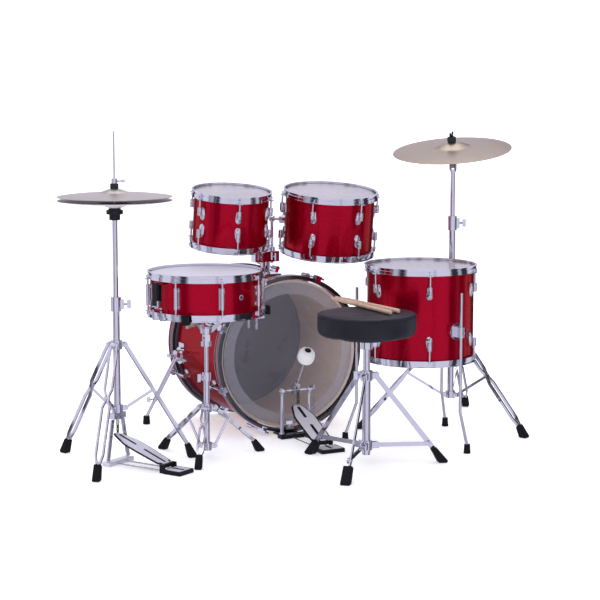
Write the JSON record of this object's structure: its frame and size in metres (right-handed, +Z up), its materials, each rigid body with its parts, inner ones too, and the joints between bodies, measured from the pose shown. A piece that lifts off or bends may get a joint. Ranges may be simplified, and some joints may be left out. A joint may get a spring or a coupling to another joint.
{
  "type": "acoustic drum kit",
  "caption": "Acoustic drum kit in red wrap: bass drum, rack toms, floor tom, snare, hi-hat, crash cymbal, chromed stands, bass pedal, round throne and sticks.",
  "frame": {"origin": "on the floor, under the middle of the whole kit's bounding box", "axes": "+Z up, +Y from the drummer towards the audience, along the bass drum's axis, +X to the drummer's right"},
  "size_m": [1.6759, 1.2015, 1.048],
  "materials": {
    "red_wrap": "metallic red wrap film over a wooden shell",
    "hoop_black": "black lacquer with a red inlay",
    "clear_film": "clear polyester film",
    "black_film": "black polyester film",
    "drum_film": "translucent polyester film",
    "coated_film": "white coated polyester film",
    "cymbal_light": "lathed brass",
    "cymbal_dark": "hammered and lathed brass",
    "black_plastic": "moulded",
    "vinyl": "black vinyl over foam",
    "maple": "lacquered maple",
    "black_metal": "black oxide",
    "wire": "coiled steel wire",
    "footboard_metal": "cast, satin, with black grooves",
    "chrome": "polished chrome plate"
  },
  "bodies": {
    "root": {"bass_shell": "red_wrap", "bass_hoops": "hoop_black", "bass_batter_head": "clear_film", "bass_front_head": "black_film", "bass_lugs_and_claws": "chrome", "spur_brackets": "chrome", "tom_holder": "chrome", "floor_tom_legs": "chrome", "snare_stand_base": "chrome", "hihat_base": "chrome", "crash_base_tube": "chrome", "pedal_base": "chrome", "pedal_chain": "black_metal", "throne_base": "chrome"},
    "spur_left": {"spur_left": "chrome"},
    "spur_right": {"spur_right": "chrome"},
    "tom1_arm": {"tom1_arm": "chrome"},
    "tom2_arm": {"tom2_arm": "chrome"},
    "tom1": {"tom1_shell": "red_wrap", "tom1_hoops": "chrome", "tom1_heads": "drum_film", "tom1_lugs": "chrome"},
    "tom2": {"tom2_shell": "red_wrap", "tom2_hoops": "chrome", "tom2_heads": "drum_film", "tom2_lugs": "chrome"},
    "floor_tom": {"floor_tom_shell": "red_wrap", "floor_tom_hoops": "chrome", "floor_tom_heads": "drum_film", "floor_tom_lugs": "chrome"},
    "snare_stand_tube": {"snare_stand_tube": "chrome"},
    "snare_drum": {"snare_basket": "chrome", "snare_shell": "red_wrap", "snare_hoops": "chrome", "snare_heads": "coated_film", "snare_lugs": "chrome", "snare_strainer": "chrome", "snare_wires": "wire"},
    "snare_lever": {"snare_lever": "black_plastic"},
    "hihat_tube": {"hihat_tube": "chrome", "hihat_bottom_cymbal": "cymbal_light"},
    "hihat_footboard": {"hihat_footboard": "footboard_metal"},
    "hihat_pull_rod": {"hihat_pull_rod": "chrome"},
    "hihat_clutch": {"hihat_clutch": "black_plastic", "hihat_top_cymbal": "cymbal_light"},
    "crash_tube": {"crash_tube": "chrome"},
    "crash_tilter": {"crash_tilter": "chrome"},
    "crash_cymbal": {"crash_cymbal": "cymbal_dark"},
    "crash_hub": {"crash_hub": "chrome"},
    "crash_leg_1": {"crash_leg_1": "chrome"},
    "crash_brace_1": {"crash_brace_1": "chrome"},
    "crash_leg_2": {"crash_leg_2": "chrome"},
    "crash_brace_2": {"crash_brace_2": "chrome"},
    "crash_leg_3": {"crash_leg_3": "chrome"},
    "crash_brace_3": {"crash_brace_3": "chrome"},
    "pedal_footboard": {"pedal_footboard": "footboard_metal"},
    "pedal_beater": {"pedal_beater": "chrome"},
    "throne_post": {"throne_post": "chrome", "drumsticks": "maple"},
    "throne_seat": {"throne_seat": "vinyl"}
  },
  "joints": [
    {"name": "spur_left_fold", "type": "hinge", "parent": "root", "child": "spur_left", "pos_m": [-0.249, 0.494, 0.24], "axis": [1, 0, 0], "range_deg": [-90, 0]},
    {"name": "spur_right_fold", "type": "hinge", "parent": "root", "child": "spur_right", "pos_m": [0.307, 0.494, 0.24], "axis": [1, 0, 0], "range_deg": [-90, 0]},
    {"name": "tom1_swivel", "type": "hinge", "parent": "root", "child": "tom1_arm", "pos_m": [0.003, 0.354, 0.73929], "axis": [0, 0, 1], "range_deg": [-30, 0]},
    {"name": "tom1_tilt", "type": "hinge", "parent": "tom1_arm", "child": "tom1", "pos_m": [-0.156, 0.23633, 0.73929], "axis": [-0.8038, -0.5949, 0], "range_deg": [-12, 15]},
    {"name": "tom2_swivel", "type": "hinge", "parent": "root", "child": "tom2_arm", "pos_m": [0.055, 0.354, 0.72089], "axis": [0, 0, 1], "range_deg": [0, 30]},
    {"name": "tom2_tilt", "type": "hinge", "parent": "tom2_arm", "child": "tom2", "pos_m": [0.179, 0.16491, 0.72089], "axis": [-0.5484, 0.8362, 0], "range_deg": [-12, 12]},
    {"name": "floor_tom_height", "type": "slide", "parent": "root", "child": "floor_tom", "axis": [0, 0, 1], "range_m": [-0.1, 0]},
    {"name": "snare_height", "type": "slide", "parent": "root", "child": "snare_stand_tube", "axis": [0, 0, 1], "range_m": [-0.05, 0]},
    {"name": "snare_tilt", "type": "hinge", "parent": "snare_stand_tube", "child": "snare_drum", "pos_m": [-0.368, -0.036, 0.392], "axis": [0, 1, 0], "range_deg": [-12, 12]},
    {"name": "snare_throw_off", "type": "hinge", "parent": "snare_drum", "child": "snare_lever", "pos_m": [-0.55943, -0.08658, 0.513], "axis": [0.2554, -0.9668, 0], "range_deg": [0, 80]},
    {"name": "hihat_height", "type": "slide", "parent": "root", "child": "hihat_tube", "axis": [0, 0, 1], "range_m": [-0.12, 0]},
    {"name": "hihat_pedal", "type": "hinge", "parent": "root", "child": "hihat_footboard", "pos_m": [-0.56243, -0.17658, 0.02], "axis": [-0.8729, -0.4879, 0], "range_deg": [0, 2.9], "stiffness_Nm_per_rad": 20, "springref_deg": -14.32},
    {"name": "hihat_rod", "type": "slide", "parent": "root", "child": "hihat_pull_rod", "axis": [0, 0, -1], "range_m": [0, 0.0104]},
    {"name": "hihat_clutch_height", "type": "slide", "parent": "hihat_pull_rod", "child": "hihat_clutch", "axis": [0, 0, 1], "range_m": [0, 0.03]},
    {"name": "crash_height", "type": "slide", "parent": "root", "child": "crash_tube", "axis": [0, 0, 1], "range_m": [-0.14, 0]},
    {"name": "crash_tilt", "type": "hinge", "parent": "crash_tube", "child": "crash_tilter", "pos_m": [0.601, 0.049, 0.905], "axis": [0.6293, -0.7771, 0], "range_deg": [-10, 20]},
    {"name": "crash_spin", "type": "hinge", "parent": "crash_tilter", "child": "crash_cymbal", "pos_m": [0.601, 0.049, 0.905], "axis": [-0.143, -0.1158, 0.9829], "continuous": true},
    {"name": "crash_fold", "type": "slide", "parent": "root", "child": "crash_hub", "axis": [0, 0, 1], "range_m": [0, 0.105]},
    {"name": "crash_leg_1_fold", "type": "hinge", "parent": "crash_hub", "child": "crash_leg_1", "pos_m": [0.57457, 0.05452, 0.335], "axis": [-0.2045, -0.9789, 0], "range_deg": [0, 25.08]},
    {"name": "crash_brace_1_fold", "type": "hinge", "parent": "root", "child": "crash_brace_1", "pos_m": [0.57457, 0.05452, 0.106], "axis": [0.2045, 0.9789, 0], "range_deg": [0, 35.21]},
    {"name": "crash_leg_2_fold", "type": "hinge", "parent": "crash_hub", "child": "crash_leg_2", "pos_m": [0.60943, 0.02335, 0.335], "axis": [0.95, 0.3123, 0], "range_deg": [0, 25.08]},
    {"name": "crash_brace_2_fold", "type": "hinge", "parent": "root", "child": "crash_brace_2", "pos_m": [0.60943, 0.02335, 0.106], "axis": [-0.95, -0.3123, 0], "range_deg": [0, 35.21]},
    {"name": "crash_leg_3_fold", "type": "hinge", "parent": "crash_hub", "child": "crash_leg_3", "pos_m": [0.619, 0.06913, 0.335], "axis": [-0.7455, 0.6665, 0], "range_deg": [0, 25.08]},
    {"name": "crash_brace_3_fold", "type": "hinge", "parent": "root", "child": "crash_brace_3", "pos_m": [0.619, 0.06913, 0.106], "axis": [0.7455, -0.6665, 0], "range_deg": [0, 35.21]},
    {"name": "pedal_press", "type": "hinge", "parent": "root", "child": "pedal_footboard", "pos_m": [0.016, -0.108, 0.02], "axis": [-1, 0, 0], "range_deg": [0, 6.7], "stiffness_Nm_per_rad": 6, "springref_deg": -17.19, "deforming": ["pedal_chain"]},
    {"name": "pedal_beater_swing", "type": "hinge", "parent": "root", "child": "pedal_beater", "pos_m": [0.016, 0.094, 0.163], "axis": [-1, 0, 0], "range_deg": [0, 47.5]},
    {"name": "throne_height", "type": "slide", "parent": "root", "child": "throne_post", "axis": [0, 0, 1], "range_m": [-0.06, 0.12]},
    {"name": "seat_swivel", "type": "hinge", "parent": "throne_post", "child": "throne_seat", "pos_m": [0.019, -0.395, 0.4], "axis": [0, 0, 1], "continuous": true}
  ],
  "couplings": [
    {"joint": "crash_leg_1_fold", "follows": "crash_fold", "rad_per_m": 4.1188},
    {"joint": "crash_brace_1_fold", "follows": "crash_fold", "rad_per_m": 5.8027},
    {"joint": "crash_leg_2_fold", "follows": "crash_fold", "rad_per_m": 4.1188},
    {"joint": "crash_brace_2_fold", "follows": "crash_fold", "rad_per_m": 5.8027},
    {"joint": "crash_leg_3_fold", "follows": "crash_fold", "rad_per_m": 4.1188},
    {"joint": "crash_brace_3_fold", "follows": "crash_fold", "rad_per_m": 5.8027},
    {"joint": "hihat_rod", "follows": "hihat_pedal", "m_per_rad": 0.2},
    {"joint": "pedal_beater_swing", "follows": "pedal_press", "ratio": 7.05}
  ]
}
